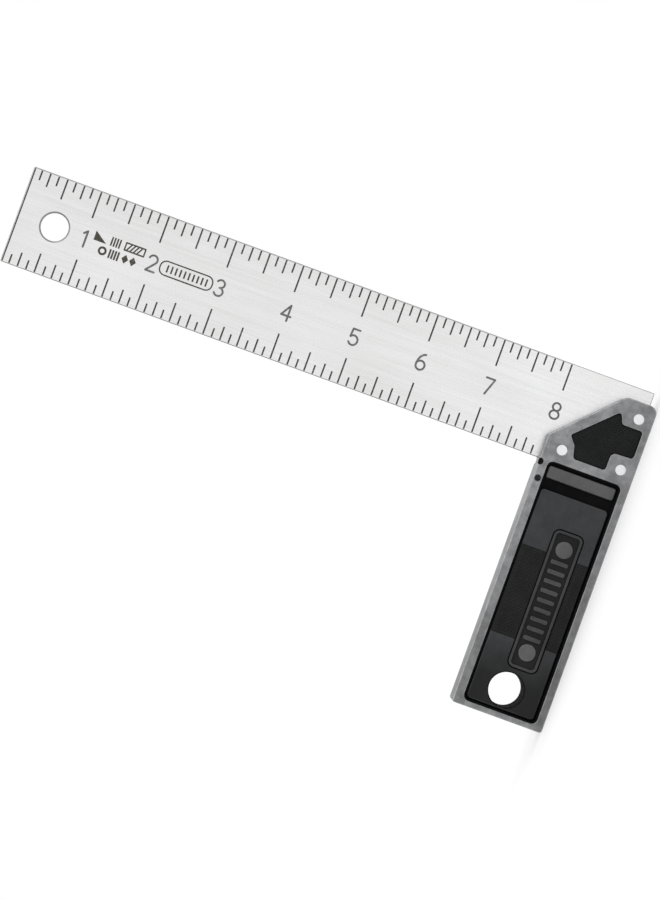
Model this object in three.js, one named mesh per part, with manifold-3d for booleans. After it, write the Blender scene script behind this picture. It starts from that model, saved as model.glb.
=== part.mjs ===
// Try square: a graduated steel blade riveted at a right angle into a die-cast stock.
//
// Millimetres, +Z up. The square stands on the stock's flat outer edge with its blade upright.
// X runs along the stock: its free end is at -X, the blade's outer edge at +X.
// Y is the thickness, with the blade in the middle plane and the front face at -Y.
// The origin is on the standing edge, in line with the blade's inner edge.
import * as THREE from "three";
import { mergeVertices } from "three/addons/utils/BufferGeometryUtils.js";
import Module from "manifold-3d";

const wasm = await Module();
wasm.setup();

// ---------------------------------------------------------------- driving dimensions
const INCH = 25.4;

const BLADE_REACH = 8 * INCH; // stock's inner face to the blade's tip
const BLADE_WIDTH = 1.4 * INCH;
const BLADE_THICKNESS = 1.2;
const BLADE_CORNER_R = 0.4;
const BLADE_HOLE_R = 5;
const BLADE_HOLE_FROM_TIP = 14;

const STOCK_WIDTH = 33.5; // standing edge to inner face
const STOCK_THICKNESS = 14;
const STOCK_LENGTH = 91.4; // blade's inner edge to the stock's free end
const HEAD_LENGTH = 30.6; // blade's inner edge to the top of the head
const HEAD_CORNER_R = 3;
const END_CORNER_R = 1;
const EDGE_CHAMFER = 0.4;
const MITRE_START = 8.8; // where the 45 degree shoulder leaves the inner face

const SLOT_CLEARANCE = 0.05; // each side of the blade
const SLOT_END_WALL = 2.3; // stock between the blade's end and the standing edge

const WEB_THICKNESS = 6; // casting left between the two grip pockets
const POCKET_TOP = 0.2; // pocket's edge nearest the head, in X
const POCKET_END_RIM = 2;
const POCKET_OUTER_RIM = 2.8; // rim along the standing edge
const POCKET_INNER_RIM = 3.25; // rim along the inner face
const POCKET_CORNER_R = 2.2;
const RECESS_DEPTH = 2.4; // head recess in each cheek

const HANG_HOLE_R = 6.3;
const HANG_HOLE_FROM_END = 10.2;
const COLLAR_WALL = 1.4; // inlay collar that lines the hanging hole

const INLAY_GAP = 0.3; // around each inlay
const FACE_GAP = 0.05; // between flat faces that lie together
const INLAY_SET_BACK = 0.6; // inlay surface below the stock's face
const INLAY_FLOOR = 1.3; // thickness of the grip inlay in its grooves
const BAR_TOP = -1.4; // raised bar nearest the head, in X
const BAR_BOTTOM = -5.8;
const PAD_TOP = -9.85; // edge of the long pad nearest the head, in X
const PAD_MARGIN = 1.1; // step from the inlay's floor edge to the raised pad

const EMBLEM_X = -47.2;
const EMBLEM_Z = 14.3;
const EMBLEM_LENGTH = 51;
const EMBLEM_WIDTH = 10.6;
const EMBLEM_CORNER_R = 2.2;
const EMBLEM_LINE = 1;
const EMBLEM_RISE = 0.35;

const PEG_R = 2; // pegs on the front inlay snap through the web into the back one
const PEG_CLEARANCE = 0.15;
const PEG_REACH = 1.8;
const PEG_PLACES = [
  [-15, STOCK_WIDTH / 2],
  [-66, STOCK_WIDTH / 2],
];

const RIVET_R = 1.4;
const RIVET_HEAD_R = 1.95;
const RIVET_HEAD_DEPTH = 1;
const RIVETS = {
  rivet_head_top: [24.5, 5.3],
  rivet_lower_outer: [5.5, 5.3],
  rivet_lower_inner: [5, 27.2],
};

const DIMPLE_R = 1.1;
const DIMPLE_DEPTH = 3;
const DIMPLES = [
  [-1.2, STOCK_WIDTH - 0.3], // chip relief at the inner corner, open to the inner face
  [-7.1, STOCK_WIDTH - 1.6],
];

const CORNER_SEGMENTS = 3;
const ROUND_SEGMENTS = 32;
const FRONT = -1;
const BACK = 1;

const HALF = STOCK_THICKNESS / 2;
const WEB_FACE = WEB_THICKNESS / 2;
const TIP_Z = STOCK_WIDTH + BLADE_REACH;
const HANG_HOLE = [-STOCK_LENGTH + HANG_HOLE_FROM_END, STOCK_WIDTH / 2];
const BLADE_HOLE = [BLADE_WIDTH / 2, TIP_Z - BLADE_HOLE_FROM_TIP];

// ---------------------------------------------------------------- outlines, as [x, z, corner radius]
const STOCK_OUTLINE = [
  [-STOCK_LENGTH, 0, END_CORNER_R],
  [HEAD_LENGTH, 0, HEAD_CORNER_R],
  [HEAD_LENGTH, STOCK_WIDTH - (HEAD_LENGTH - MITRE_START), HEAD_CORNER_R],
  [MITRE_START, STOCK_WIDTH, END_CORNER_R],
  [-STOCK_LENGTH, STOCK_WIDTH, END_CORNER_R],
];

// The head recess follows the head's sides and steps round the three rivets.
const RECESS_OUTLINE = [
  [3.5, 10.4, 1],
  [3.5, 22.4, 1.2],
  [8, 23.5, 1.6],
  [11.2, 26, 0.7],
  [24.9, 11.9, 0.9],
  [20.8, 10.2, 1.2],
  [20.8, 2.4, 1.2],
  [10.6, 2.4, 1.2],
  [10.3, 9.2, 1.5],
  [9, 10.4, 1],
];

// ---------------------------------------------------------------- shapes
// A closed outline of straight sides, each corner an arc of its own radius.
function roundedShape(corners) {
  const shape = new THREE.Shape();
  corners.forEach(([x, z, radius], i) => {
    const corner = new THREE.Vector2(x, z);
    const previous = new THREE.Vector2(...corners.at(i - 1).slice(0, 2));
    const next = new THREE.Vector2(...corners[(i + 1) % corners.length].slice(0, 2));
    const back = previous.sub(corner).normalize();
    const ahead = next.sub(corner).normalize();
    const halfAngle = back.angleTo(ahead) / 2;
    const start = corner.clone().addScaledVector(back, radius / Math.tan(halfAngle));
    const end = corner.clone().addScaledVector(ahead, radius / Math.tan(halfAngle));
    const inward = back.clone().add(ahead).normalize();
    const centre = corner.clone().addScaledVector(inward, radius / Math.sin(halfAngle));
    const clockwise = back.cross(ahead) > 0;
    const from = start.clone().sub(centre).angle();
    const to = end.clone().sub(centre).angle();
    if (i === 0) shape.moveTo(start.x, start.y);
    else shape.lineTo(start.x, start.y);
    shape.absarc(centre.x, centre.y, radius, from, to, clockwise);
  });
  shape.closePath();
  return shape;
}

function rectangle(x0, x1, z0, z1, radius) {
  return roundedShape([
    [x0, z0, radius],
    [x1, z0, radius],
    [x1, z1, radius],
    [x0, z1, radius],
  ]);
}

// Stands a shape up as a plate between two Y values, its outline drawn in and its edges chamfered.
function plate(shape, ya, yb, { inset = 0, chamfer = 0 } = {}) {
  const y0 = Math.min(ya, yb);
  const y1 = Math.max(ya, yb);
  const geometry = new THREE.ExtrudeGeometry(shape, {
    depth: y1 - y0 - 2 * chamfer,
    curveSegments: CORNER_SEGMENTS,
    bevelEnabled: chamfer > 0,
    bevelThickness: chamfer,
    bevelSize: chamfer,
    bevelOffset: -chamfer - inset,
    bevelSegments: 1,
  });
  geometry.rotateX(Math.PI / 2);
  return geometry.translate(0, y1 - chamfer, 0);
}

// A turned piece on a Y axis through [x, z]; its profile of [radius, y] runs from low y to high y.
function turned(profile, [x, z]) {
  const points = profile.map(([radius, y]) => new THREE.Vector2(radius, y));
  return new THREE.LatheGeometry(points, ROUND_SEGMENTS).translate(x, 0, z);
}

function cylinder(radius, ya, yb, place) {
  const y0 = Math.min(ya, yb);
  const y1 = Math.max(ya, yb);
  return turned([[0, y0], [radius, y0], [radius, y1], [0, y1]], place);
}

// ---------------------------------------------------------------- solids
function solid(geometry) {
  const bare = geometry.clone();
  bare.deleteAttribute("normal");
  bare.deleteAttribute("uv");
  const merged = mergeVertices(bare, 1e-4);
  const vertProperties = new Float32Array(merged.attributes.position.array);
  const triVerts = new Uint32Array(merged.index.array);
  return new wasm.Manifold(new wasm.Mesh({ numProp: 3, vertProperties, triVerts }));
}

function geometryOf(manifold) {
  const mesh = manifold.getMesh();
  const geometry = new THREE.BufferGeometry();
  geometry.setAttribute("position", new THREE.BufferAttribute(mesh.vertProperties, 3));
  geometry.setIndex(new THREE.BufferAttribute(mesh.triVerts, 1));
  return geometry;
}

function join(geometries) {
  return geometries.map(solid).reduce((whole, next) => whole.add(next));
}

function cut(body, geometries) {
  return geometries.map(solid).reduce((left, tool) => left.subtract(tool), body);
}

// ---------------------------------------------------------------- stock casting
const POCKET = rectangle(
  -STOCK_LENGTH + POCKET_END_RIM,
  POCKET_TOP,
  POCKET_OUTER_RIM,
  STOCK_WIDTH - POCKET_INNER_RIM,
  POCKET_CORNER_R,
);

function rivetProfile(clearance) {
  const head = RIVET_HEAD_R + clearance;
  const shank = RIVET_R + clearance;
  const neck = HALF - RIVET_HEAD_DEPTH;
  return [[0, -HALF], [head, -HALF], [shank, -neck], [shank, neck], [head, HALF], [0, HALF]];
}

function faceCuts(side) {
  const outside = side * (HALF + 1);
  return [
    plate(POCKET, side * WEB_FACE, outside),
    plate(roundedShape(RECESS_OUTLINE), side * (HALF - RECESS_DEPTH), outside),
    ...DIMPLES.map((place) => cylinder(DIMPLE_R, side * (HALF - DIMPLE_DEPTH), outside, place)),
  ];
}

function stockCasting() {
  const slotWidth = BLADE_THICKNESS + 2 * SLOT_CLEARANCE;
  const slot = new THREE.BoxGeometry(BLADE_WIDTH * 2, slotWidth, STOCK_WIDTH * 2);
  slot.translate(BLADE_WIDTH, 0, SLOT_END_WALL - SLOT_CLEARANCE + STOCK_WIDTH);
  const blank = solid(plate(roundedShape(STOCK_OUTLINE), -HALF, HALF, { chamfer: EDGE_CHAMFER }));
  return cut(blank, [
    ...faceCuts(FRONT),
    ...faceCuts(BACK),
    slot,
    cylinder(HANG_HOLE_R + COLLAR_WALL + INLAY_GAP, -HALF - 1, HALF + 1, HANG_HOLE),
    ...PEG_PLACES.map((place) => cylinder(PEG_R + PEG_CLEARANCE, -HALF, HALF, place)),
    ...Object.values(RIVETS).map((place) => turned(rivetProfile(SLOT_CLEARANCE), place)),
  ]);
}

// ---------------------------------------------------------------- blade
function blade() {
  const half = BLADE_THICKNESS / 2;
  const sheet = plate(rectangle(0, BLADE_WIDTH, SLOT_END_WALL, TIP_Z, BLADE_CORNER_R), -half, half);
  return cut(solid(sheet), [
    cylinder(BLADE_HOLE_R, -1, 1, BLADE_HOLE),
    ...Object.values(RIVETS).map((place) => cylinder(RIVET_R + SLOT_CLEARANCE, -1, 1, place)),
  ]);
}

// ---------------------------------------------------------------- inlays
function emblemPlate(side, inset, base) {
  const shape = rectangle(
    EMBLEM_X - EMBLEM_LENGTH / 2 + inset,
    EMBLEM_X + EMBLEM_LENGTH / 2 - inset,
    EMBLEM_Z - EMBLEM_WIDTH / 2 + inset,
    EMBLEM_Z + EMBLEM_WIDTH / 2 - inset,
    EMBLEM_CORNER_R - inset,
  );
  return plate(shape, side * base, side * (HALF - INLAY_SET_BACK + EMBLEM_RISE));
}

// One grip inlay: a thin floor, a raised bar and pad on it, a framed panel, and a collar in the hanging hole.
function gripBody(side) {
  const bottom = WEB_FACE + FACE_GAP;
  const inside = bottom + INLAY_FLOOR / 2; // the raised parts start here, so that they fuse with the floor
  const top = HALF - INLAY_SET_BACK;
  const low = POCKET_OUTER_RIM + INLAY_GAP + PAD_MARGIN;
  const high = STOCK_WIDTH - POCKET_INNER_RIM - INLAY_GAP - PAD_MARGIN;
  const end = -STOCK_LENGTH + POCKET_END_RIM + INLAY_GAP + PAD_MARGIN;
  const frame = cut(solid(emblemPlate(side, 0, top - 0.3)), [emblemPlate(side, EMBLEM_LINE, 0)]);
  const body = join([
    plate(POCKET, side * bottom, side * (bottom + INLAY_FLOOR), { inset: INLAY_GAP, chamfer: 0.1 }),
    plate(rectangle(BAR_BOTTOM, BAR_TOP, low, high, 0.8), side * inside, side * top),
    plate(rectangle(end, PAD_TOP, low, high, 1.2), side * inside, side * top),
    cylinder(HANG_HOLE_R + COLLAR_WALL, side * FACE_GAP, side * inside, HANG_HOLE),
  ]);
  return cut(body.add(frame), [cylinder(HANG_HOLE_R, side * -1, side * HALF, HANG_HOLE)]);
}

function frontGripInlay() {
  const pegs = PEG_PLACES.map((place) => cylinder(PEG_R, -WEB_FACE - 0.5, WEB_FACE + PEG_REACH, place));
  return gripBody(FRONT).add(join(pegs));
}

function backGripInlay() {
  const bottom = WEB_FACE + PEG_REACH + 0.3;
  const sockets = PEG_PLACES.map((place) => cylinder(PEG_R + PEG_CLEARANCE, 0, bottom, place));
  return cut(gripBody(BACK), sockets);
}

function headInlay(side) {
  const shape = roundedShape(RECESS_OUTLINE);
  const bottom = HALF - RECESS_DEPTH + FACE_GAP;
  return plate(shape, side * bottom, side * (HALF - INLAY_SET_BACK), { inset: 0.2, chamfer: 0.2 });
}

// ---------------------------------------------------------------- assembly
function material(color, roughness, metalness) {
  return new THREE.MeshStandardMaterial({ color, roughness, metalness });
}

const castAlloy = material(0x8f9192, 0.45, 0.85);
const bladeSteel = material(0xd9dadb, 0.3, 1);
const rivetSteel = material(0xe9ecee, 0.25, 1);
const gripPlastic = material(0x2b2c2e, 0.65, 0);
const headPlastic = material(0x1b1d1d, 0.75, 0);

const square = new THREE.Group();

function add(name, geometry, finish, [x, z] = [0, 0]) {
  const mesh = new THREE.Mesh(geometry, finish);
  mesh.name = name;
  mesh.position.set(x, 0, z);
  square.add(mesh);
}

add("stock_casting", geometryOf(stockCasting()), castAlloy);
add("blade", geometryOf(blade()), bladeSteel);
for (const [name, place] of Object.entries(RIVETS)) {
  add(name, turned(rivetProfile(0), [0, 0]), rivetSteel, place);
}
add("front_grip_inlay", geometryOf(frontGripInlay()), gripPlastic);
add("back_grip_inlay", geometryOf(backGripInlay()), gripPlastic);
add("front_head_inlay", headInlay(FRONT), headPlastic);
add("back_head_inlay", headInlay(BACK), headPlastic);

export default square;
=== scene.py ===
"""Looks of the try square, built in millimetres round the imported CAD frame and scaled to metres.

The square stands on the stock's outer edge: +Z up the blade to its tip, -X along the stock, front face at -Y.
"""

import math

import bmesh
import bpy
from mathutils import Matrix, Vector
from mathutils.geometry import delaunay_2d_cdt


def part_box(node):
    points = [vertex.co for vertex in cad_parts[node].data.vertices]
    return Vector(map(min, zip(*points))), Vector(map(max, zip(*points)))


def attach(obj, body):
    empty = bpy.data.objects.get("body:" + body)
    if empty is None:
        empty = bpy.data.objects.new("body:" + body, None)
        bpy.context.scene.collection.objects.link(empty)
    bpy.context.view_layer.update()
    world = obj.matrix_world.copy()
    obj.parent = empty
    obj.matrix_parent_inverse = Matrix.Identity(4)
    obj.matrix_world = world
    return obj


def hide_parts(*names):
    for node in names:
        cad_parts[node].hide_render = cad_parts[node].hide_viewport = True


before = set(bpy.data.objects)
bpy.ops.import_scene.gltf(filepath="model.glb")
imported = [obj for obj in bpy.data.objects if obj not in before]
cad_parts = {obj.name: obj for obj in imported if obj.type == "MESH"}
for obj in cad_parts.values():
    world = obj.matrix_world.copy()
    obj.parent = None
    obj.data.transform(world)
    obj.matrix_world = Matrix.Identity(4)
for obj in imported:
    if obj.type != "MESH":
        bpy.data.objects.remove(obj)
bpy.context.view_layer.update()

MM = 0.001
INCH = 25.4
FRONT = -1
BACK = 1

# ---------------------------------------------------------------- sizes taken from the frame, in millimetres
stock_low, stock_high = (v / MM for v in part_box("stock_casting"))
blade_low, blade_high = (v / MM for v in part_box("blade"))
STOCK_END = round(stock_low.x, 2)
HEAD_END = round(stock_high.x, 2)
STOCK_WIDTH = round(stock_high.z, 2)
HALF = round(stock_high.y, 2)
BLADE_WIDTH = round(blade_high.x, 2)
BLADE_HALF = round(blade_high.y, 2)
BLADE_END = round(blade_low.z, 2)
TIP_Z = round(blade_high.z, 2)
MIDDLE_Z = STOCK_WIDTH / 2

# ---------------------------------------------------------------- outlines, as (x, z, corner radius)
MITRE_START = 8.8
STOCK_OUTLINE = [
    (STOCK_END, 0, 1),
    (HEAD_END, 0, 3),
    (HEAD_END, STOCK_WIDTH - (HEAD_END - MITRE_START), 3),
    (MITRE_START, STOCK_WIDTH, 1),
    (STOCK_END, STOCK_WIDTH, 1),
]
RECESS_OUTLINE = [
    (3.5, 10.4, 1),
    (3.5, 22.4, 1.2),
    (8, 23.5, 1.6),
    (11.2, 26, 0.7),
    (24.9, 11.9, 0.9),
    (20.8, 10.2, 1.2),
    (20.8, 2.4, 1.2),
    (10.6, 2.4, 1.2),
    (10.3, 9.2, 1.5),
    (9, 10.4, 1),
]
HANG_HOLE = (STOCK_END + 10.2, MIDDLE_Z)
HANG_HOLE_R = 6.3
COLLAR_R = 7.7
BLADE_HOLE = (BLADE_WIDTH / 2, TIP_Z - 14)
BLADE_HOLE_R = 5.0
RIVETS = {
    "rivet_head_top": (24.5, 5.3),
    "rivet_lower_outer": (5.5, 5.3),
    "rivet_lower_inner": (5.0, 27.2),
}
RIVET_HEAD_R = 1.95
RIVET_R = 1.4
RIVET_NECK = 1.0  # depth at which the rivet's tapered head meets its shank
DIMPLES = [(-1.2, STOCK_WIDTH - 0.3), (-7.1, STOCK_WIDTH - 1.6)]
DIMPLE_R = 1.1
DIMPLE_DEPTH = 3.0
POCKET_DEPTH = 4.0
RECESS_DEPTH = 2.4
BEYOND = 1.0  # how far a cutter reaches out of the stock's face
OUTSIDE = HALF + 2 * BEYOND  # where the grip's cutters end
HAIR = 0.003  # keeps a cutter's corner just clear of the face that it meets


def rectangle(x0, x1, z0, z1, radius):
    return [(x0, z0, radius), (x1, z0, radius), (x1, z1, radius), (x0, z1, radius)]


POCKET_OUTLINE = rectangle(STOCK_END + 2, 0.2, 2.8, STOCK_WIDTH - 3.25, 2.2)
PAD_LOW, PAD_HIGH = 4.2, STOCK_WIDTH - 4.2  # the pad's and the bar's edges, in Z
PAD_END, PAD_TOP = STOCK_END + 3.2, -9.85  # the pad's ends, in X
BAR = (-5.8, -1.4)  # the raised bar, in X
BAND = (-63.3, -30.6)  # the pad's rough band, in X
BAND_DEPTH = 0.22
INLAY_DEPTH = 0.6  # depth of the pad, the bar and the head inlay below the stock's face
INLAY_TOP = HALF - INLAY_DEPTH
TRAY_FLOOR, TRAY_LIP = 4.35, HALF - 0.62  # from the middle plane
PAD_BASE = 4.0  # where the raised parts start, inside the tray's floor
PAD_EDGE = 0.55  # rounding of the pad and the bar
STUD_SINK = 0.05  # how far the studs reach into the surface below them
EMBLEM_CENTRE = (-47.2, 14.3)
EMBLEM_SIZE = (51, 10.6)
EMBLEM_CORNER = 2.2
EMBLEM_SINK = 0.3  # depth of the emblem's panel and of the groove round it
DOME_SPACING = 38.4
RIB_COUNT = 9
RIB_SPACING = 3.55
RIB_SIZE = (1.5, 6.4)


# ---------------------------------------------------------------- outlines that can be drawn in or out
def spokes(corners, steps=6):
    """The outline's corner arcs as (centre, direction, radius, convex, bisector) at even angles."""
    points = [Vector((x, z)) for x, z, _ in corners]
    area = sum(points[i - 1].cross(points[i]) for i in range(len(points)))
    made = []
    for i, (_, _, radius) in enumerate(corners):
        corner, before, after = points[i], points[i - 1], points[(i + 1) % len(points)]
        back, ahead = (before - corner).normalized(), (after - corner).normalized()
        half = back.angle(ahead) / 2
        bisector = (back + ahead).normalized() / math.sin(half)
        centre = corner + (back + ahead).normalized() * radius / math.sin(half)
        start = corner + back * radius / math.tan(half) - centre
        end = corner + ahead * radius / math.tan(half) - centre
        first = math.atan2(start.y, start.x)
        turn = (math.atan2(end.y, end.x) - first + math.pi) % (2 * math.pi) - math.pi
        convex = (corner - before).cross(after - corner) * area > 0
        for step in range(steps + 1):
            angle = first + turn * step / steps
            spoke = Vector((math.cos(angle), math.sin(angle)))
            made.append((centre, spoke, radius, convex, bisector))
    return made


def circle_spokes(centre, radius, count=64):
    angles = (2 * math.pi * i / count for i in range(count))
    turns = [Vector((math.cos(a), math.sin(a))) for a in angles]
    return [(Vector(centre), turn, radius, True, None) for turn in turns]


def ring(outline, inset=0.0):
    """The outline's points, moved inwards by inset. Past its radius a corner stays a sharp one."""
    points = []
    for centre, spoke, radius, convex, bisector in outline:
        if convex and bisector and inset > radius:
            points.append(tuple(centre + bisector * (inset - radius)))
        else:
            points.append(tuple(centre + spoke * (radius - inset if convex else radius + inset)))
    return points


def quarter(radius, steps=5):
    """A quarter round as (inset, rise) pairs, from the side to the face."""
    angles = (math.pi / 2 * i / steps for i in range(steps + 1))
    return [(radius * (1 - math.cos(a)), radius * math.sin(a)) for a in angles]


# ---------------------------------------------------------------- meshes
MERGE = 1e-7  # vertices nearer than this, in metres, become one


def mesh_object(name, verts, faces, finishes, indices=None):
    """A closed mesh object from millimetre coordinates, with its faces turned outwards."""
    mesh = bpy.data.meshes.new(name)
    mesh.from_pydata([Vector(v) * MM for v in verts], [], faces)
    for finish in finishes:
        mesh.materials.append(finish)
    if indices:
        mesh.polygons.foreach_set("material_index", indices)
    bm = bmesh.new()
    bm.from_mesh(mesh)
    bmesh.ops.remove_doubles(bm, verts=bm.verts, dist=MERGE)
    bmesh.ops.recalc_face_normals(bm, faces=bm.faces)
    bm.to_mesh(mesh)
    bm.free()
    piece = bpy.data.objects.new(name, mesh)
    bpy.context.scene.collection.objects.link(piece)
    return piece


def loft(outline, levels, finish, name="loft"):
    """A closed solid through the outline at each (inset, y) level."""
    count = len(outline)
    verts = [(x, y, z) for inset, y in levels for x, z in ring(outline, inset)]
    faces = [list(range(count)), list(range(len(verts) - count, len(verts)))]
    for level in range(len(levels) - 1):
        base = level * count
        for i in range(count):
            j = (i + 1) % count
            faces.append([base + i, base + j, base + count + j, base + count + i])
    return mesh_object(name, verts, faces, [finish])


def turned(profile, centre, finish, segments=64, name="turned"):
    """A solid turned on a Y axis through centre; its (radius, y) profile runs from one pole to the other."""
    levels = [(-radius, y) for radius, y in profile[1:-1]]
    outline = circle_spokes(centre, 0, segments)
    piece = loft(outline, levels, finish, name)
    flat_ends = profile[0][1] == profile[1][1] and profile[-1][1] == profile[-2][1]
    if flat_ends:
        return piece
    bm = bmesh.new()
    bm.from_mesh(piece.data)
    bm.faces.ensure_lookup_table()
    for cap, (_, y) in ((bm.faces[1], profile[-1]), (bm.faces[0], profile[0])):
        poked = bmesh.ops.poke(bm, faces=[cap])
        poked["verts"][0].co = Vector((centre[0], y, centre[1])) * MM
    bm.to_mesh(piece.data)
    bm.free()
    return piece


def combine(target, tools, operation):
    """Joins the tools to target, or cuts them from it, and removes them."""
    for tool in tools:
        modifier = target.modifiers.new("boolean", "BOOLEAN")
        modifier.object = tool
        modifier.operation = operation
        modifier.solver = "EXACT"
        modifier.material_mode = "TRANSFER"
    bpy.context.view_layer.update()
    evaluated = target.evaluated_get(bpy.context.evaluated_depsgraph_get())
    mesh = bpy.data.meshes.new_from_object(evaluated)
    target.modifiers.clear()
    target.data = mesh
    for tool in tools:
        bpy.data.objects.remove(tool)
    return target


def finish_piece(piece, name, node, smooth_angle=30):
    """Tidies the mesh, sets its shading, and puts the piece on its body in place of the CAD node."""
    bm = bmesh.new()
    bm.from_mesh(piece.data)
    bmesh.ops.remove_doubles(bm, verts=bm.verts, dist=2 * MERGE)
    bmesh.ops.dissolve_degenerate(bm, edges=bm.edges, dist=MERGE)
    bm.to_mesh(piece.data)
    bm.free()
    piece.name = name
    piece.data.name = name
    piece.data.shade_smooth()
    piece.data.set_sharp_from_angle(angle=math.radians(smooth_angle))
    weighted = piece.modifiers.new("weighted_normal", "WEIGHTED_NORMAL")
    weighted.keep_sharp = True
    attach(piece, "root")
    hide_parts(node)
    return piece


# ---------------------------------------------------------------- materials
class Surface:
    """A principled material and short ways to add the nodes that vary it."""

    def __init__(self, name, **values):
        self.material = bpy.data.materials.new(name)
        self.material.use_nodes = True
        self.tree = self.material.node_tree
        self.shader = self.tree.nodes["Principled BSDF"]
        self.place = self.add("ShaderNodeTexCoord").outputs["Object"]
        for socket, value in values.items():
            self.shader.inputs[socket].default_value = value

    def add(self, kind, inputs=None, **settings):
        node = self.tree.nodes.new(kind)
        for setting, value in settings.items():
            setattr(node, setting, value)
        for socket, value in (inputs or {}).items():
            if isinstance(value, bpy.types.NodeSocket):
                self.tree.links.new(value, node.inputs[socket])
            else:
                node.inputs[socket].default_value = value
        return node

    def link(self, output, socket):
        self.tree.links.new(output, self.shader.inputs[socket])

    def noise(self, size_mm, stretch=(1, 1, 1), detail=3, rough=0.5, shift=0.0):
        """Noise with features of about size_mm, drawn out by stretch."""
        scale = [1 / (size_mm * MM * s) for s in stretch]
        node = self.add("ShaderNodeMapping", {"Vector": self.place, "Scale": scale, "Location": [shift] * 3})
        inputs = {"Vector": node.outputs[0], "Scale": 1.0, "Detail": detail, "Roughness": rough}
        return self.add("ShaderNodeTexNoise", inputs).outputs["Fac"]

    def spread(self, value, low, high, source=(0.3, 0.7)):
        """Maps a value's source range on to low to high."""
        inputs = {0: value, 1: source[0], 2: source[1], 3: low, 4: high}
        return self.add("ShaderNodeMapRange", inputs).outputs[0]

    def math(self, operation, a, b=0.0, clamp=False):
        return self.add("ShaderNodeMath", {0: a, 1: b}, operation=operation, use_clamp=clamp).outputs[0]

    def mix(self, factor, a, b):
        node = self.add("ShaderNodeMix", data_type="RGBA")
        for index, value in ((0, factor), (6, a), (7, b)):
            if isinstance(value, bpy.types.NodeSocket):
                self.tree.links.new(value, node.inputs[index])
            else:
                node.inputs[index].default_value = value
        return node.outputs[2]

    def edge_mask(self):
        """1 where the surface turns between a face and a side, 0 on both."""
        normal = self.add("ShaderNodeNewGeometry").outputs["Normal"]
        across = self.add("ShaderNodeSeparateXYZ", {0: normal}).outputs[1]
        square = self.math("MULTIPLY", across, across)
        rest = self.math("SUBTRACT", 1.0, square)
        return self.math("MULTIPLY", self.math("MULTIPLY", square, rest), 4.0, clamp=True)

    def bump(self, height, distance_mm, strength=1.0):
        inputs = {"Height": height, "Distance": distance_mm * MM, "Strength": strength}
        node = self.add("ShaderNodeBump", inputs)
        self.link(node.outputs[0], "Normal")


def grey(value, tint=(1, 1, 1)):
    """A grey of the given brightness, tinted slightly."""
    return (value * tint[0], value * tint[1], value * tint[2], 1)


def brushed_steel():
    s = Surface("brushed_steel", Metallic=1.0)
    streaks = s.noise(0.22, (1, 1, 130), detail=4, rough=0.65)
    coarse = s.noise(1.6, (1, 1, 60), detail=2, shift=3.1)
    clouds = s.noise(26, (1, 1, 1.6), detail=3, shift=7.7)
    smudge = s.noise(7, (1, 1, 1), detail=4, rough=0.7, shift=11.3)
    mixed = s.math("ADD", s.math("MULTIPLY", streaks, 0.5), s.math("MULTIPLY", coarse, 0.2))
    mixed = s.math("ADD", mixed, s.math("MULTIPLY", clouds, 0.3))
    tone = s.spread(mixed, 0.0, 1.0, (0.36, 0.64))
    s.link(s.mix(tone, grey(0.73, (1, 0.997, 0.99)), grey(0.87, (0.995, 0.997, 1))), "Base Color")
    rough = s.math("ADD", s.spread(streaks, 0.19, 0.32), s.spread(smudge, -0.03, 0.06, (0.35, 0.65)))
    s.link(rough, "Roughness")
    s.bump(streaks, 0.012, 0.6)
    return s.material


def painted_shade_edge_steel():
    """Deburred edges and punched walls of the blade: duller than its faces, and darker with painted shade."""
    s = Surface("steel_edge_painted_shade", Metallic=1.0)
    marks = s.noise(0.3, detail=4, rough=0.6)
    s.link(s.mix(s.spread(marks, 0.0, 1.0), grey(0.20), grey(0.32)), "Base Color")
    s.link(s.spread(marks, 0.3, 0.5), "Roughness")
    s.bump(marks, 0.01, 0.6)
    return s.material


def ink(name, dark, light):
    """Ink in a shallow etched mark, thinner in places."""
    s = Surface(name, Metallic=0.0)
    s.shader.inputs["Specular IOR Level"].default_value = 0.3
    wear = s.noise(0.9, detail=4, rough=0.7)
    s.link(s.mix(s.spread(wear, 0.0, 1.0, (0.5, 0.72)), dark, light), "Base Color")
    s.link(s.spread(wear, 0.5, 0.7), "Roughness")
    s.bump(s.noise(0.15), 0.01, 0.5)
    return s.material


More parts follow.
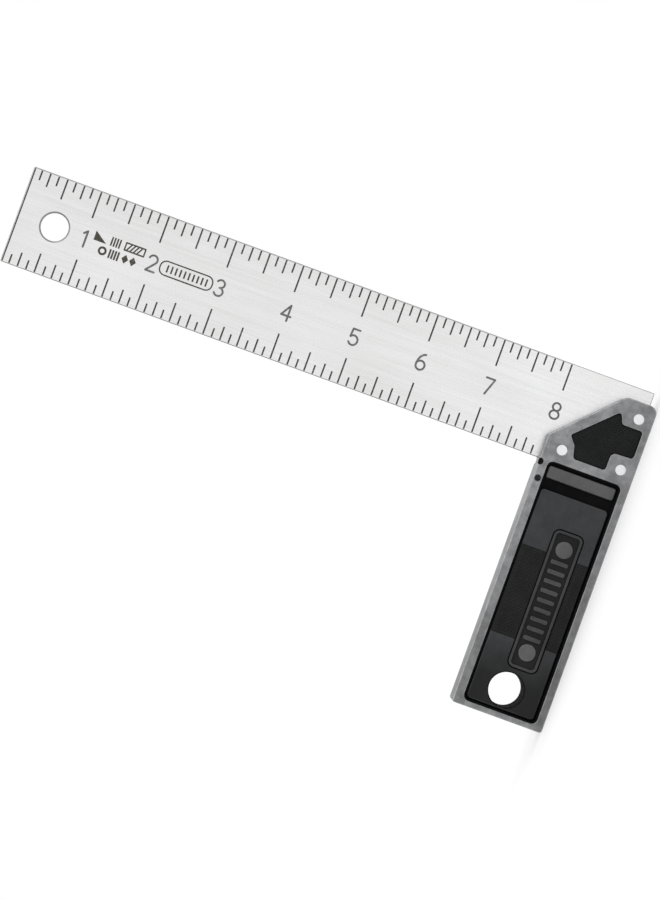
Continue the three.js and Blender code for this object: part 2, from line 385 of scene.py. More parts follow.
def cast_alloy():
    """Ground die casting: mottled, with painted light and shade: lighter towards the head and the inner edge,
    darker towards the free end and the standing edge.
    """
    s = Surface("die_cast_alloy", Metallic=0.75)
    grain = s.noise(0.28, detail=5, rough=0.7)
    dents = s.noise(1.8, detail=3, shift=2.3)
    clouds = s.noise(9, detail=5, rough=0.65, shift=5.9)
    lines = s.noise(0.14, (45, 1, 1), detail=3, rough=0.6, shift=8.6)
    tone = s.math("ADD", s.math("MULTIPLY", clouds, 0.55), s.math("MULTIPLY", dents, 0.3))
    tone = s.math("ADD", tone, s.math("MULTIPLY", lines, 0.15))
    where = s.add("ShaderNodeSeparateXYZ", {0: s.place}).outputs
    # Painted light and shade: lighter towards the head and the inner edge, darker towards the free end and
    # the standing edge, with a lighter strip along the very end.
    along = s.spread(where[0], 0.0, 0.7, (-0.07, -0.002))
    across = s.spread(where[2], 0.0, 0.3, (0.0, 0.0335))
    end = s.spread(where[0], 0.6, 0.0, (-0.0905, -0.0885))
    painted_light_share = s.math("ADD", s.math("ADD", along, across), end, clamp=True)
    mottle = s.spread(tone, 0.0, 1.0, (0.41, 0.59))
    painted_shade_mottle = s.mix(mottle, grey(0.125, (1, 1.005, 1.02)), grey(0.19, (1, 1.005, 1.02)))
    painted_light_mottle = s.mix(mottle, grey(0.20, (0.99, 1.0, 1.02)), grey(0.33, (0.99, 1.0, 1.02)))
    colour = s.mix(painted_light_share, painted_shade_mottle, painted_light_mottle)
    wear = s.math("MULTIPLY", s.edge_mask(), s.spread(dents, 0.35, 1.0), clamp=True)
    s.link(s.mix(wear, colour, grey(0.40, (0.99, 1.0, 1.02))), "Base Color")
    rough = s.math("ADD", s.spread(grain, 0.36, 0.54), s.spread(lines, -0.04, 0.05))
    s.link(s.math("SUBTRACT", rough, s.math("MULTIPLY", wear, 0.12)), "Roughness")
    relief = s.math("ADD", s.math("MULTIPLY", grain, 0.5), s.math("MULTIPLY", dents, 0.35))
    s.bump(s.math("ADD", relief, s.math("MULTIPLY", lines, 0.15)), 0.035, 0.7)
    return s.material


def polished_metal():
    s = Surface("polished_rivet", Metallic=1.0)
    turned_marks = s.noise(0.12, detail=3)
    tone = s.spread(turned_marks, 0.0, 1.0)
    s.link(s.mix(tone, grey(0.74), grey(0.88, (0.99, 1, 1.01))), "Base Color")
    s.link(s.spread(turned_marks, 0.22, 0.38), "Roughness")
    s.bump(turned_marks, 0.006, 0.5)
    return s.material


def plastic(
    name, dark, light, roughness, specular, grain_mm=0.3, grain_height=0.03, edge=0.05, fade=1.0
):
    """Moulded plastic: fine grain, faint clouds, edges rubbed lighter, and painted shade that darkens it by
    fade towards the free end.
    """
    s = Surface(name, Metallic=0.0)
    s.shader.inputs["Specular IOR Level"].default_value = specular
    grain = s.noise(grain_mm, detail=4, rough=0.6)
    clouds = s.noise(9, detail=4, rough=0.65, shift=4.4)
    scuffs = s.noise(0.35, (9, 1, 3), detail=4, rough=0.7, shift=6.1)
    tone = s.math("ADD", s.math("MULTIPLY", clouds, 0.6), s.math("MULTIPLY", grain, 0.2))
    tone = s.math("ADD", tone, s.math("MULTIPLY", scuffs, 0.2))
    colour = s.mix(s.spread(tone, 0.0, 1.0, (0.38, 0.62)), dark, light)
    # Painted shade: below 1, fade darkens the colour towards the free end.
    if fade < 1:
        along = s.add("ShaderNodeSeparateXYZ", {0: s.place}).outputs[0]
        painted_shade_dark, painted_shade_light = ([c * fade for c in tint] for tint in (dark, light))
        far = s.mix(s.spread(tone, 0.0, 1.0, (0.38, 0.62)), painted_shade_dark, painted_shade_light)
        colour = s.mix(s.spread(along, 0.0, 1.0, (-0.078, -0.064)), far, colour)
    wear = s.math("MULTIPLY", s.edge_mask(), s.spread(clouds, 0.2, 1.0), clamp=True)
    s.link(s.mix(wear, colour, grey(edge, (1, 1.01, 1.04))), "Base Color")
    base_rough = s.spread(grain, roughness - 0.06, roughness + 0.1)
    s.link(s.math("SUBTRACT", base_rough, s.spread(scuffs, 0.0, 0.08, (0.55, 0.7))), "Roughness")
    s.bump(grain, grain_height, 0.8)
    return s.material


STEEL = brushed_steel()
TICK_INK = ink("tick_ink", grey(0.035), grey(0.16))
NUMERAL_INK = ink("numeral_ink", grey(0.12), grey(0.26))
STAMP_INK = ink("stamp_ink", (0.05, 0.045, 0.036, 1), (0.15, 0.14, 0.12, 1))
ALLOY = cast_alloy()
RIVET = polished_metal()
COOL = (0.97, 1, 1.05)
GREENISH = (0.95, 1, 1)
# The grip's fade of 0.25 is painted shade, darker towards the free end.
GRIP = plastic(
    "grip_black", grey(0.027, COOL), grey(0.044, COOL), 0.5, 0.2, grain_height=0.045, edge=0.06, fade=0.25
)
# The bar's lighter grey is painted sheen: the light that its smooth slope catches, put into its colour.
BAR_PAINTED_SHEEN = plastic("grip_bar_painted_sheen", grey(0.055), grey(0.08), 0.42, 0.5, edge=0.1)
FRAME_BLACK = plastic("grip_emblem_frame", grey(0.02), grey(0.035), 0.45, 0.35, edge=0.06)
EMBLEM_BLACK = plastic("grip_emblem", grey(0.025), grey(0.05), 0.4, 0.4, edge=0.09)
STUD_BLACK = plastic("grip_emblem_stud", grey(0.055), grey(0.085), 0.4, 0.45, edge=0.12)
# The rough band's low gloss is its own. Its colour, darker than the pad's, is painted shade of its studs, and
# the emblem's sunk panel takes it too.
BAND_PAINTED_SHADE = plastic("grip_rough_band_painted_shade", grey(0.008), grey(0.013), 0.7, 0.2, 0.22, 0.04, edge=0.02)
# Near black, darker than the pad of the same moulding: painted shade in the moat round the pad, on the collar
# and walls of the hanging hole, and in the emblem's groove.
TRAY_PAINTED_SHADE = plastic("grip_tray_painted_shade", grey(0.004), grey(0.007), 0.85, 0.08, edge=0.008)
HEAD_BLACK = plastic(
    "head_black", grey(0.005, GREENISH), grey(0.009, GREENISH), 0.68, 0.18, 0.22, 0.04, edge=0.02
)
# Painted shadow inside the casting's dimples: black in the first, dark grey in the second.
BORE = plastic("bore_shadow", grey(0.008), grey(0.014), 0.8, 0.1, edge=0.01)
DIMPLE_GREY_PAINTED_SHADE = plastic("bore_painted_shade_grey", grey(0.13), grey(0.18), 0.8, 0.2, edge=0.1)
PAINTED_SHADE_EDGE_STEEL = painted_shade_edge_steel()


# ---------------------------------------------------------------- blade
def pen(path, width, cap_steps=4):
    """A stroke of the given width along an open path, with round ends, as one polygon."""
    points = [Vector(p) for p in path]
    half = width / 2
    normals = []
    for i in range(len(points)):
        ahead = (points[min(i + 1, len(points) - 1)] - points[max(i - 1, 0)]).normalized()
        normals.append(Vector((-ahead.y, ahead.x)))
    left = [p + n * half for p, n in zip(points, normals)]
    right = [p - n * half for p, n in zip(points, normals)]
    turns = [math.pi * i / cap_steps for i in range(1, cap_steps)]

    def cap(point, first):
        return [point + half * Vector((math.cos(first - t), math.sin(first - t))) for t in turns]

    end_cap = cap(points[-1], math.atan2(normals[-1].y, normals[-1].x))
    start_cap = cap(points[0], math.atan2(normals[0].y, normals[0].x) - math.pi)
    return left + end_cap + right[::-1] + start_cap


def arc(cx, cy, rx, ry, first, last, steps=10):
    """Points along an ellipse about (cx, cy), from the first angle to the last in degrees."""
    angles = (math.radians(first + (last - first) * i / steps) for i in range(steps + 1))
    return [(cx + rx * math.cos(a), cy + ry * math.sin(a)) for a in angles]


# Centre lines of the numerals, each in a box 3.3 wide and 5.8 high about its middle.
NUMERALS = {
    1: [[(0.3, -2.9), (0.3, 2.9)], [(0.3, 2.9), (-0.9, 1.8)]],
    2: [arc(0, 1.35, 1.55, 1.55, 165, -38), [(1.23, 0.4), (-1.6, -2.9)], [(-1.6, -2.9), (1.65, -2.9)]],
    3: [arc(0, 1.5, 1.45, 1.4, 155, -90), arc(0, -1.4, 1.62, 1.5, 90, -155)],
    4: [[(0.75, 2.9), (-1.75, -1.1)], [(-1.75, -1.1), (1.75, -1.1)], [(0.75, 2.9), (0.75, -2.9)]],
    5: [[(1.4, 2.9), (-1.15, 2.9)], [(-1.15, 2.9), (-1.35, 0.2)], arc(-0.05, -1.1, 1.65, 1.8, 142, -150)],
    6: [arc(0, -1.25, 1.6, 1.65, a, a + 180) for a in (0, 180)] + [arc(1.1, -1.25, 2.7, 4.15, 180, 95)],
    7: [[(-1.6, 2.9), (1.6, 2.9)], [(1.6, 2.9), (-0.5, -2.9)]],
    8: [arc(0, y, *r, a, a + 180) for y, *r in ((1.5, 1.4, 1.4), (-1.4, 1.65, 1.5)) for a in (0, 180)],
}
NUMERAL_STROKE = 0.74
NUMERAL_LINE = 17.6  # middle of the numerals, from the blade's inner edge
TICK_WIDTH = 0.6
TIP_LINE = (0.35, 0.85)  # the line along the blade's tip, from and to these distances
# Tick lengths for eighths, quarters, halves and whole inches.
OUTER_TICKS = (4.0, 5.4, 7.8, 10.2)
INNER_TICKS = (3.6, 5.3, 7.3, 9.7)
SCALE_INCHES = 8
EDGE_GAP = 0.34  # between the ticks and the blade's edge
BASE_LINE = 0.08  # width of the line that joins the outer ticks
STAMP_STROKE = 0.55
STAMP_MIDDLE, FRAMED_MIDDLE = 37.8, 63.6  # middles of the pictograms and of the framed bars, from the tip
PLAIN, TICK, NUMERAL, STAMP, EDGE = range(5)  # kinds of face, in the order of the blade's materials


def bar(s0, s1, t0, t1):
    """A straight mark, s along the blade from its tip and t across it from its inner edge."""
    return [(s0, t0), (s1, t0), (s1, t1), (s0, t1)]


def closed_pen(path, width):
    """A closed line drawn as two strokes that overlap at their ends."""
    half = len(path) // 2
    return [pen(path[: half + 1], width), pen(path[half:] + path[:1], width)]


def scale_marks():
    """The blade's marks as (polygon, kind); a point is (distance from the tip, from the inner edge)."""
    outer_line = BLADE_WIDTH - EDGE_GAP
    marks = [(bar(*TIP_LINE, EDGE_GAP, outer_line), TICK)]
    marks.append((bar(TIP_LINE[0], SCALE_INCHES * INCH, outer_line - BASE_LINE, outer_line), TICK))
    last = SCALE_INCHES * 8
    for eighth in range(1, last + 1):
        rank = sum(eighth % step == 0 for step in (2, 4, 8))
        s0 = eighth * INCH / 8 - TICK_WIDTH / 2
        s1 = s0 + TICK_WIDTH
        marks.append((bar(s0, s1, BLADE_WIDTH - OUTER_TICKS[rank], outer_line), TICK))
        if eighth < last:
            marks.append((bar(s0, s1, EDGE_GAP, INNER_TICKS[rank]), TICK))
    for number, strokes in NUMERALS.items():
        for path in strokes:
            moved = [(number * INCH + x, NUMERAL_LINE + y) for x, y in path]
            marks.append((pen(moved, NUMERAL_STROKE), NUMERAL))
    return marks + [(polygon, STAMP) for polygon in stamp_marks()]


def stamp_marks():
    """Plain pictograms in two short rows, and a framed row of bars."""
    made = [[(28.4, 18.4), (33.2, 18.4), (28.4, 21.8)]]
    made += [bar(s, s + 0.6, 18.4, 21.7) for s in (34.5, 35.5, 36.5, 37.5)]
    box = [(39.9, 18.7), (47.1, 18.7), (47.1, 21.4), (39.9, 21.4)]
    made += [pen([box[i - 1], box[i]], STAMP_STROKE) for i in range(4)]
    made += [pen([(s, 18.9), (s + 1.3, 21.2)], STAMP_STROKE) for s in (40.7, 42.0, 43.3, 44.6)]
    made += closed_pen(arc(32.7, 15.7, 1.2, 1.2, 0, 345, 22), 0.8)
    made += [bar(s, s + 0.68, 14.0, 17.3) for s in (35.1, 36.15, 37.2, 38.25)]
    made += [[(s - 1.25, 15.65), (s, 14.0), (s + 1.25, 15.65), (s, 17.3)] for s in (41.2, 44.1)]
    frame_line = ring(spokes(rectangle(53.8, 73.4, 15.1, 20.2, 2.2), 5))
    made += closed_pen(frame_line, 0.5)
    made += [bar(s, s + 0.62, 16.3, 19.0) for s in (56.3 + 1.62 * i for i in range(10))]
    return made


def counter_clockwise(loop):
    area = sum(Vector(loop[i - 1]).cross(Vector(loop[i])) for i in range(len(loop)))
    return loop if area > 0 else loop[::-1]


CHAMFER = 0.22  # bevel along the blade's edges
HOLE_CHAMFER = 0.55  # how far a hole's bevel spreads over the blade's face
MARK_DEPTH = 0.06
WELD = 1e-5  # points nearer than this are one


class Sheet:
    """Vertices and faces of a closed flat sheet with marks sunk in both sides."""

    def __init__(self):
        self.verts, self.faces, self.kinds = [], [], []

    def face(self, indices, kind):
        self.faces.append(indices)
        self.kinds.append(kind)

    def ring(self, points, y):
        first = len(self.verts)
        self.verts += [(x, y, z) for x, z in points]
        return list(range(first, len(self.verts)))

    def strip(self, ring_a, ring_b):
        for i in range(len(ring_a)):
            j = (i + 1) % len(ring_a)
            self.face([ring_a[i], ring_a[j], ring_b[j], ring_b[i]], EDGE)

    def side(self, side, outer, holes, marks):
        """One marked face; returns the index rings of its outer edge and of its holes."""
        points, polygons = [], []
        for loop in [outer] + holes + [polygon for polygon, _ in marks]:
            base = len(points)
            points += [Vector(p) for p in counter_clockwise(loop)]
            polygons.append(list(range(base, base + len(loop))))
        found, _, triangles, from_points, _, from_polygons = delaunay_2d_cdt(points, [], polygons, 1, WELD)
        face_y, sunk_y = side * BLADE_HALF, side * (BLADE_HALF - MARK_DEPTH)
        index = {}

        def vertex(i, sunk):
            if (i, sunk) not in index:
                index[i, sunk] = len(self.verts)
                self.verts.append((found[i][0], sunk_y if sunk else face_y, found[i][1]))
            return index[i, sunk]

        edges = {}
        for triangle, origins in zip(triangles, from_polygons):
            if any(1 <= o <= len(holes) for o in origins):
                continue
            mark = max(origins) - len(holes)
            kind = marks[mark - 1][1] if mark > 0 else PLAIN
            self.face([vertex(i, kind > PLAIN) for i in triangle], kind)
            for k in range(3):
                a, b = triangle[k], triangle[(k + 1) % 3]
                edges.setdefault((min(a, b), max(a, b)), []).append(kind)
        for (a, b), kinds in edges.items():
            if len(kinds) == 2 and (kinds[0] > PLAIN) != (kinds[1] > PLAIN):
                wall = [vertex(a, False), vertex(b, False), vertex(b, True), vertex(a, True)]
                self.face(wall, max(kinds))
        place = {source: i for i, sources in enumerate(from_points) for source in sources}
        rings, base = [], 0
        for loop in [outer] + holes:
            order = list(range(base, base + len(loop)))
            if counter_clockwise(loop) is not loop:
                order.reverse()
            rings.append([vertex(place[k], False) for k in order])
            base += len(loop)
        return rings


def make_blade():
    """The blade: a bevelled sheet with its marks sunk in both faces, the hanging hole and the rivet holes."""
    outline = spokes(rectangle(0, BLADE_WIDTH, BLADE_END, TIP_Z, 0.4), 4)
    holes = [circle_spokes(BLADE_HOLE, BLADE_HOLE_R, 72)]
    rivet_gap = 0.05
    holes += [circle_spokes(place, RIVET_R + rivet_gap, 32) for place in RIVETS.values()]
    sheet = Sheet()
    rings = {}
    for side in (FRONT, BACK):
        marks = []
        for polygon, kind in scale_marks():
            if side == BACK:
                polygon = mirrored(polygon, kind)
            marks.append(([(t, TIP_Z - s) for s, t in polygon], kind))
        outer = ring(outline, CHAMFER)
        inner = [ring(hole, -HOLE_CHAMFER) for hole in holes]
        rings[side] = sheet.side(side, outer, inner, marks)
    wall = BLADE_HALF - CHAMFER
    for number, shape in enumerate([outline] + holes):
        front = sheet.ring(ring(shape), -wall)
        back = sheet.ring(ring(shape), wall)
        sheet.strip(rings[FRONT][number], front)
        sheet.strip(front, back)
        sheet.strip(back, rings[BACK][number])
    # The bevels and hole walls take the darker edge steel: painted shade.
    finishes = [STEEL, TICK_INK, NUMERAL_INK, STAMP_INK, PAINTED_SHADE_EDGE_STEEL]
    piece = mesh_object("blade", sheet.verts, sheet.faces, finishes, sheet.kinds)
    return finish_piece(piece, "blade_engraved", "blade", 20)


def mirrored(polygon, kind):
    """Turns a numeral or stamp to read the right way on the blade's back, about its own middle."""
    if kind == TICK:
        return polygon
    if kind == STAMP:
        past_pictograms = min(s for s, _ in polygon) > (STAMP_MIDDLE + FRAMED_MIDDLE) / 2
        middle = FRAMED_MIDDLE if past_pictograms else STAMP_MIDDLE
    else:
        middle = round(sum(s for s, _ in polygon) / len(polygon) / INCH) * INCH
    return [(2 * middle - s, t) for s, t in polygon]


# ---------------------------------------------------------------- stock casting
def sunk_cutter(corners, side, depth, mouth, fillet, draft=0.06):
    """Cuts a pocket: its mouth is rounded outwards and its floor filleted."""
    levels = [(-mouth, side * (HALF + BEYOND)), (-mouth, side * (HALF + HAIR))]
    levels += [(-inset, side * (HALF - mouth + rise)) for inset, rise in quarter(mouth)[-2::-1]]
    levels += [(draft + inset, side * (HALF - depth + fillet - rise)) for inset, rise in quarter(fillet)]
    return loft(spokes(corners), levels, ALLOY, "cutter")


def dimple_cutter(place, side, shade):
    """Cuts a round dimple with a countersunk mouth and a shallow cone for its floor."""
    mouth_r, floor = DIMPLE_R + 0.2, HALF - DIMPLE_DEPTH
    profile = [(0, floor - 0.4), (DIMPLE_R - 0.1, floor), (DIMPLE_R, HALF - 0.25)]
    profile += [(mouth_r, HALF + HAIR), (mouth_r, HALF + BEYOND), (0, HALF + BEYOND)]
    return turned([(r, side * y) for r, y in profile], place, shade, 40, "cutter")


def rivet_cutter(place, gap=0.06, bevel=0.12):
    """Cuts a rivet's hole, a gap wider than the rivet, with a bevelled mouth on both faces."""
    head, shank = RIVET_HEAD_R + gap, RIVET_R + gap
    half = [(head + bevel, HALF + BEYOND), (head + bevel, HALF + HAIR), (head, HALF - bevel)]
    half.append((shank, HALF - RIVET_NECK))
    profile = [(0, -HALF - BEYOND)] + [(r, -y) for r, y in half] + half[::-1] + [(0, HALF + BEYOND)]
    return turned(profile, place, ALLOY, 48, "cutter")


def make_casting():
    """The stock: its outline with rounded edges, less the pockets, recesses, dimples, holes and slot."""
    edge_r = 0.5
    edge = quarter(edge_r)
    levels = [(inset, -HALF + edge_r - rise) for inset, rise in edge[::-1]]
    levels += [(inset, HALF - edge_r + rise) for inset, rise in edge]
    blank = loft(spokes(STOCK_OUTLINE, 8), levels, ALLOY, "stock")
    cutters = []
    for side in (FRONT, BACK):
        cutters.append(sunk_cutter(POCKET_OUTLINE, side, POCKET_DEPTH, 0.35, 0.3))
        cutters.append(sunk_cutter(RECESS_OUTLINE, side, RECESS_DEPTH, 0.3, 0.2, 0.04))
        # The dimples' walls and floors take the painted shadow colours.
        for place, shade in zip(DIMPLES, (BORE, DIMPLE_GREY_PAINTED_SHADE)):
            cutters.append(dimple_cutter(place, side, shade))
    cutters += [rivet_cutter(place) for place in RIVETS.values()]
    clear = 80  # past the stock's head end and inner face
    slot = rectangle(-0.03, clear, BLADE_END - 0.05, clear, 0.02)
    half_slot = BLADE_HALF + 0.05
    cutters.append(loft(spokes(slot, 1), [(0, -half_slot), (0, half_slot)], ALLOY, "cutter"))
    hole_r, reach = COLLAR_R + 0.3, HALF - 1
    through = [(0, -reach), (hole_r, -reach), (hole_r, reach), (0, reach)]
    cutters.append(turned(through, HANG_HOLE, ALLOY, 72, "cutter"))
    combine(blank, cutters, "DIFFERENCE")
    return finish_piece(blank, "stock_casting_body", "stock_casting")


# ---------------------------------------------------------------- rivets
def make_rivet(node, place):
    """A rivet with a slightly crowned, tapered head at each end."""
    profile = [(0, HALF), (0.8, HALF - 0.004), (RIVET_HEAD_R - 0.35, HALF - 0.012)]
    profile += [(RIVET_HEAD_R - 0.1, HALF - 0.05), (RIVET_HEAD_R, HALF - 0.16), (RIVET_R, HALF - RIVET_NECK)]
    profile += [(r, -y) for r, y in profile[::-1]]
    piece = turned(profile, place, RIVET, 48, node)
    return finish_piece(piece, node + "_polished", node)


# ---------------------------------------------------------------- grip and head inlays
def studs(side, low, high, pitch, inside, finish):
    """Small pointed studs on a diagonal grid, wherever all of a stud's corners are inside."""
    verts, faces = [], []
    wide, narrow = pitch * 0.46, pitch * 0.17
    (x_low, x_high), (z_low, z_high) = (
        (min(c[k] for c in inside.corners), max(c[k] for c in inside.corners)) for k in (0, 1)
    )
    half = pitch / 2
    for i in range(int((x_high - x_low) / half) + 2):
        for j in range(int((z_high - z_low) / half) + 2):
            x, z = x_low + i * half, z_low + j * half
            foot = diamond(x, z, wide)
            if (i + j) % 2 or not all(inside(p) for p in foot):
                continue
            base = len(verts)
            verts += [(px, side * low, pz) for px, pz in foot]
            verts += [(px, side * high, pz) for px, pz in diamond(x, z, narrow)]
            faces += [[base, base + 1, base + 2, base + 3], [base + 4, base + 5, base + 6, base + 7]]
            faces += [[base + k, base + (k + 1) % 4, base + 4 + (k + 1) % 4, base + 4 + k] for k in range(4)]
    return mesh_object("studs", verts, faces, [finish])


def diamond(x, z, reach):
    """The four corners of a diamond about (x, z)."""
    return [(x + reach, z), (x, z + reach), (x - reach, z), (x, z - reach)]


class Region:
    """The inside of a polygon, less holes given as other regions."""

    def __init__(self, corners, holes=()):
        self.corners, self.holes = corners, holes

    def __call__(self, point):
        x, z = point
        odd = False
        for i, (x1, z1) in enumerate(self.corners):
            x0, z0 = self.corners[i - 1]
            if (z0 > z) != (z1 > z) and x < (x1 - x0) * (z - z0) / (z1 - z0) + x0:
                odd = not odd
        return odd and not any(hole(point) for hole in self.holes)


def raised(corners, side, base, depth, edge, finish, steps=6, crown=0.0):
    """A pad with a rounded edge. Its middle lies depth below the stock's face, and its rim lower by crown."""
    levels = [(-0.12, side * base), (0.0, side * (base + 0.5))]
    levels += [(0.02 + inset, side * (HALF - depth - crown - edge + rise)) for inset, rise in quarter(edge)]
    if crown:
        levels.append((0.02 + edge + 0.6, side * (HALF - depth - crown * 0.3)))
        levels.append((0.02 + edge + 1.3, side * (HALF - depth)))
    return loft(spokes(corners, steps), levels, finish, "raised")


def badge(inset):
    """The emblem's outline, drawn in by inset."""
    x, z = EMBLEM_CENTRE
    half_x, half_z = EMBLEM_SIZE[0] / 2 - inset, EMBLEM_SIZE[1] / 2 - inset
    return rectangle(x - half_x, x + half_x, z - half_z, z + half_z, EMBLEM_CORNER - inset)


def badge_loft(side, inset, levels, finish):
    """A solid on the emblem's outline, drawn in by inset, through (further inset, y) levels."""
    return loft(spokes(badge(inset), 14), [(further, side * y) for further, y in levels], finish)


def make_pad(side):
    """The long pad, with its rough band and the emblem's panel and groove sunk in it."""
    corners = rectangle(PAD_END, PAD_TOP, PAD_LOW, PAD_HIGH, 1.4)
    pad = raised(corners, side, PAD_BASE, INLAY_DEPTH, PAD_EDGE, GRIP)
    band = spokes(rectangle(*BAND, PAD_LOW - 1, PAD_HIGH + 1, 0.4), 3)
    band_levels = [(0.15, INLAY_TOP - BAND_DEPTH), (0.0, INLAY_TOP + HAIR), (0.0, HALF + BEYOND)]
    # The band's darker colour is painted shade.
    sink = loft(band, [(inset, side * y) for inset, y in band_levels], BAND_PAINTED_SHADE)
    kept_round_emblem = badge_loft(side, -0.55, [(0, PAD_BASE + 0.5), (0, OUTSIDE)], GRIP)
    combine(sink, [kept_round_emblem], "DIFFERENCE")
    combine(pad, [sink], "DIFFERENCE")
    floor = (0.1, INLAY_TOP - EMBLEM_SINK)
    # The emblem's sunk panel takes the band's darker colour: painted shade.
    panel = badge_loft(side, 1.0, [floor, (0.0, INLAY_TOP), (0.0, OUTSIDE)], BAND_PAINTED_SHADE)
    combine(pad, [panel], "DIFFERENCE")
    # The groove round the emblem takes the near-black painted shade.
    groove = badge_loft(side, -0.5, [floor, (0.0, INLAY_TOP + HAIR), (0.0, OUTSIDE)], TRAY_PAINTED_SHADE)
    combine(pad, [groove], "DIFFERENCE")
    return pad


def make_emblem(side):
    """The emblem's raised frame, its two domes and the row of ribs between them."""
    top = INLAY_TOP
    outer_line = [(-0.08, top - 0.5), (0.08, top + 0.2), (0.25, top + 0.34), (0.4, top + 0.34)]
    inner_line = [(1.05, top - 0.8), (0.92, top + 0.2), (0.75, top + 0.36), (0.75, OUTSIDE)]
    frame_ring = badge_loft(side, 0, outer_line, FRAME_BLACK)
    combine(frame_ring, [badge_loft(side, 0, inner_line, FRAME_BLACK)], "DIFFERENCE")
    made = [frame_ring]
    x0, z0 = EMBLEM_CENTRE
    dome = [(0, top - 0.4), (3.1, top - 0.4), (3.0, top - 0.05)]
    dome += [(2.6, top + 0.16), (1.5, top + 0.27), (0, top + 0.3)]
    for x in (x0 - DOME_SPACING / 2, x0 + DOME_SPACING / 2):
        made.append(turned([(r, side * y) for r, y in dome], (x, z0), STUD_BLACK, 40))
    half_x, half_z = RIB_SIZE[0] / 2, RIB_SIZE[1] / 2
    for i in range(RIB_COUNT):
        x = x0 + (i - RIB_COUNT // 2) * RIB_SPACING
        rib = rectangle(x - half_x, x + half_x, z0 - half_z, z0 + half_z, 0.5)
        made.append(raised(rib, side, top - 0.6, INLAY_DEPTH - 0.24, 0.3, EMBLEM_BLACK, 4))
    return made


def bore_cutter(side, mouth_r=0.45):
    """Cuts the hanging hole through one grip, with a mouth rounded outwards."""
    start = INLAY_TOP - mouth_r
    bore = [(0, -1), (HANG_HOLE_R, -1), (HANG_HOLE_R, start)]
    bore += [(HANG_HOLE_R + inset, start + rise) for inset, rise in quarter(mouth_r)[1:-1]]
    bore += [(HANG_HOLE_R + mouth_r, INLAY_TOP + HAIR), (HANG_HOLE_R + mouth_r, OUTSIDE), (0, OUTSIDE)]
    # The hanging hole's walls take the near-black painted shade.
    return turned([(r, side * y) for r, y in bore], HANG_HOLE, TRAY_PAINTED_SHADE, 72)


def make_grip(side):
    """One grip: a tray with a lip, a collar, the bar, the pad and the emblem, with the hole through it."""
    tray = [(0.45, 3.05), (0.2, 3.3), (0.16, TRAY_LIP - 0.13), (0.24, TRAY_LIP), (0.5, TRAY_LIP)]
    tray += [(0.58, TRAY_LIP - 0.13), (0.62, TRAY_FLOOR + 0.3), (0.72, TRAY_FLOOR + 0.08), (0.95, TRAY_FLOOR)]
    # The tray and, below, the collar take the near-black painted shade.
    body = loft(spokes(POCKET_OUTLINE), [(inset, side * y) for inset, y in tray], TRAY_PAINTED_SHADE, "grip")
    collar = [(0, 0.06), (COLLAR_R, 0.06), (COLLAR_R, PAD_BASE), (0, PAD_BASE)]
    parts = [turned([(r, side * y) for r, y in collar], HANG_HOLE, TRAY_PAINTED_SHADE, 72)]
    # The bar takes the lighter grey of painted sheen.
    bar_corners = rectangle(*BAR, PAD_LOW, PAD_HIGH, 0.8)
    parts.append(raised(bar_corners, side, PAD_BASE, INLAY_DEPTH, PAD_EDGE, BAR_PAINTED_SHEEN, crown=0.15))
    parts.append(make_pad(side))
    parts += make_emblem(side)
    combine(body, parts, "UNION")
    band_inside = rectangle(BAND[0] + 0.2, BAND[1] - 0.2, PAD_LOW + 0.7, PAD_HIGH - 0.7, 0.3)
    rough = Region(ring(spokes(band_inside, 2)), [Region(ring(spokes(badge(-0.8), 14)))])
    stud_foot = INLAY_TOP - BAND_DEPTH - STUD_SINK
    combine(body, [studs(side, stud_foot, INLAY_TOP + 0.06, 1.5, rough, BAND_PAINTED_SHADE)], "UNION")
    combine(body, [bore_cutter(side)], "DIFFERENCE")
    name = "front" if side == FRONT else "back"
    return finish_piece(body, name + "_grip_moulding", name + "_grip_inlay")


def make_head_inlay(side):
    """One head inlay: a thick plate in the recess with a studded face."""
    outline = spokes(RECESS_OUTLINE, 6)
    gap, edge_r, foot = 0.2, 0.3, HALF - 2.2
    levels = [(gap + 0.1, foot - 0.14), (gap, foot)]
    levels += [(gap + inset, INLAY_TOP - edge_r + rise) for inset, rise in quarter(edge_r)]
    body = loft(outline, [(inset, side * y) for inset, y in levels], HEAD_BLACK, "head")
    rough = Region(ring(outline, 0.62))
    combine(body, [studs(side, INLAY_TOP - STUD_SINK, INLAY_TOP + 0.24, 1.3, rough, HEAD_BLACK)], "UNION")
    name = "front" if side == FRONT else "back"
    return finish_piece(body, name + "_head_moulding", name + "_head_inlay")


make_casting()
make_blade()
for rivet, rivet_place in RIVETS.items():
    make_rivet(rivet, rivet_place)
for face_side in (FRONT, BACK):
    make_grip(face_side)
    make_head_inlay(face_side)

# ---------------------------------------------------------------- floor and light
scene = bpy.context.scene
FLOOR_RADIUS = 1.1
FLOOR_Z = -0.00005  # just under the square
FADE_FROM, FADE_TO = 0.08, 0.4  # distances over which the floor turns white
floor_mesh = bpy.data.meshes.new("floor")
floor_ring = ring(circle_spokes((0, 0), FLOOR_RADIUS, 96))
floor_mesh.from_pydata([(x, y, FLOOR_Z) for x, y in floor_ring], [], [list(range(len(floor_ring)))])
floor_surface = Surface("floor_pale", Roughness=0.9)
floor_surface.link(floor_surface.mix(floor_surface.noise(180), grey(0.93), grey(0.96)), "Base Color")
# The floor fades outwards into the white surround, so it has no visible edge.
distance = floor_surface.add("ShaderNodeVectorMath", {0: floor_surface.place}, operation="LENGTH")
fade = floor_surface.spread(distance.outputs["Value"], 0.4, 1.0, (FADE_FROM, FADE_TO))
haze = floor_surface.add("ShaderNodeEmission", {"Strength": 1.02}).outputs[0]  # as white as the surround
faded = floor_surface.add("ShaderNodeMixShader", {0: fade, 1: floor_surface.shader.outputs[0], 2: haze})
floor_surface.tree.links.new(faded.outputs[0], floor_surface.tree.nodes["Material Output"].inputs["Surface"])
floor_mesh.materials.append(floor_surface.material)
floor_object = bpy.data.objects.new("floor", floor_mesh)
scene.collection.objects.link(floor_object)

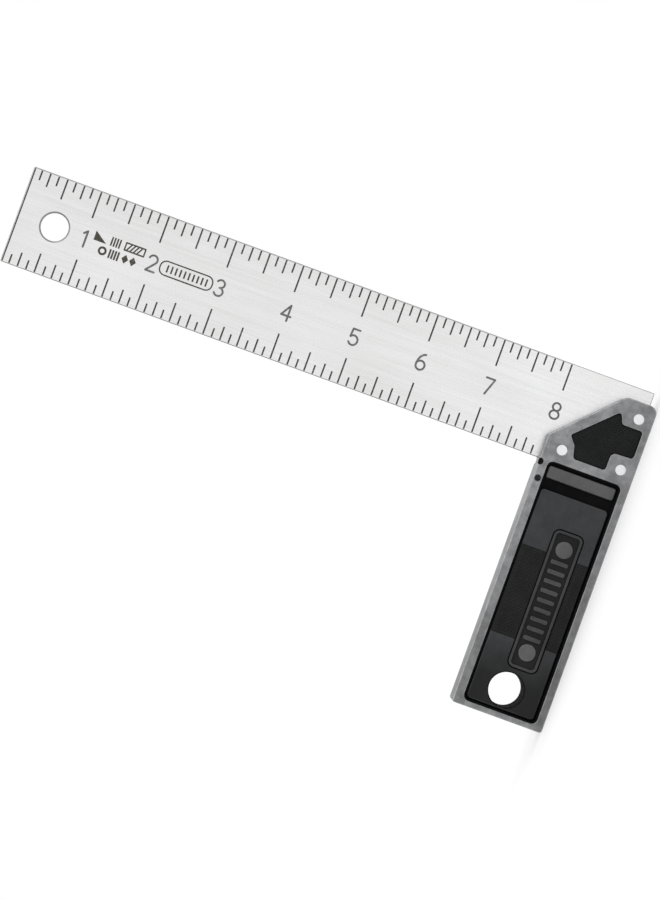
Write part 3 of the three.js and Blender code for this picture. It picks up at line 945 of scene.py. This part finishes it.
# A white surround. Its light and its reflections are bright in front and behind, and dimmer to the sides.
SKY_SIDES, SKY_FRONT = 0.45, 0.98
world = bpy.data.worlds.new("world")
scene.world = world
world.use_nodes = True
sky = world.node_tree
background = sky.nodes["Background"]
background.inputs[0].default_value = (1, 1, 1, 1)
direction = sky.nodes.new("ShaderNodeTexCoord")
parts_of = sky.nodes.new("ShaderNodeSeparateXYZ")
forward_share = sky.nodes.new("ShaderNodeMath")
forward_share.operation = "ABSOLUTE"
dim = sky.nodes.new("ShaderNodeMapRange")
dim.inputs[3].default_value, dim.inputs[4].default_value = SKY_SIDES, SKY_FRONT
seen = sky.nodes.new("ShaderNodeLightPath")
pick = sky.nodes.new("ShaderNodeMix")
pick.inputs[3].default_value = 1.0
sky.links.new(direction.outputs["Generated"], parts_of.inputs[0])
sky.links.new(parts_of.outputs[1], forward_share.inputs[0])
sky.links.new(forward_share.outputs[0], dim.inputs[0])
sky.links.new(seen.outputs["Is Camera Ray"], pick.inputs[0])
sky.links.new(dim.outputs[0], pick.inputs[2])
sky.links.new(pick.outputs[0], background.inputs[1])


def softbox(name, at, target, size, power):
    light = bpy.data.lights.new(name, "AREA")
    light.shape = "RECTANGLE"
    light.size, light.size_y = size
    light.energy = power
    box = bpy.data.objects.new(name, light)
    scene.collection.objects.link(box)
    box.location = at
    box.rotation_euler = (Vector(target) - Vector(at)).to_track_quat("-Z", "Y").to_euler()


softbox("softbox_top", (0.0, 0.0, 3.0), (0, 0, 0), (5.0, 5.0), 64)
softbox("softbox_key", (0.9, -0.5, 0.8), (0, 0, 0.1), (0.6, 0.6), 3)

# ---------------------------------------------------------------- camera
CAMERA_AT = Vector((-0.0383, -0.8870, 0.1200))
CAMERA_TO = Vector((-0.0229, 0.0, 0.1040))
CAMERA_ROLL = math.radians(-20.04)  # from +X straight up

camera = bpy.data.objects.new("camera", bpy.data.cameras.new("camera"))
scene.collection.objects.link(camera)
scene.camera = camera
camera.data.lens = 100
camera.data.sensor_width = 36
forward = (CAMERA_TO - CAMERA_AT).normalized()
level = (Vector((1, 0, 0)) - forward * forward.x).normalized()
up = Matrix.Rotation(CAMERA_ROLL, 3, forward) @ level
right = forward.cross(up)
camera.matrix_world = Matrix.Translation(CAMERA_AT) @ Matrix((right, up, -forward)).transposed().to_4x4()

scene.view_settings.view_transform = "Standard"
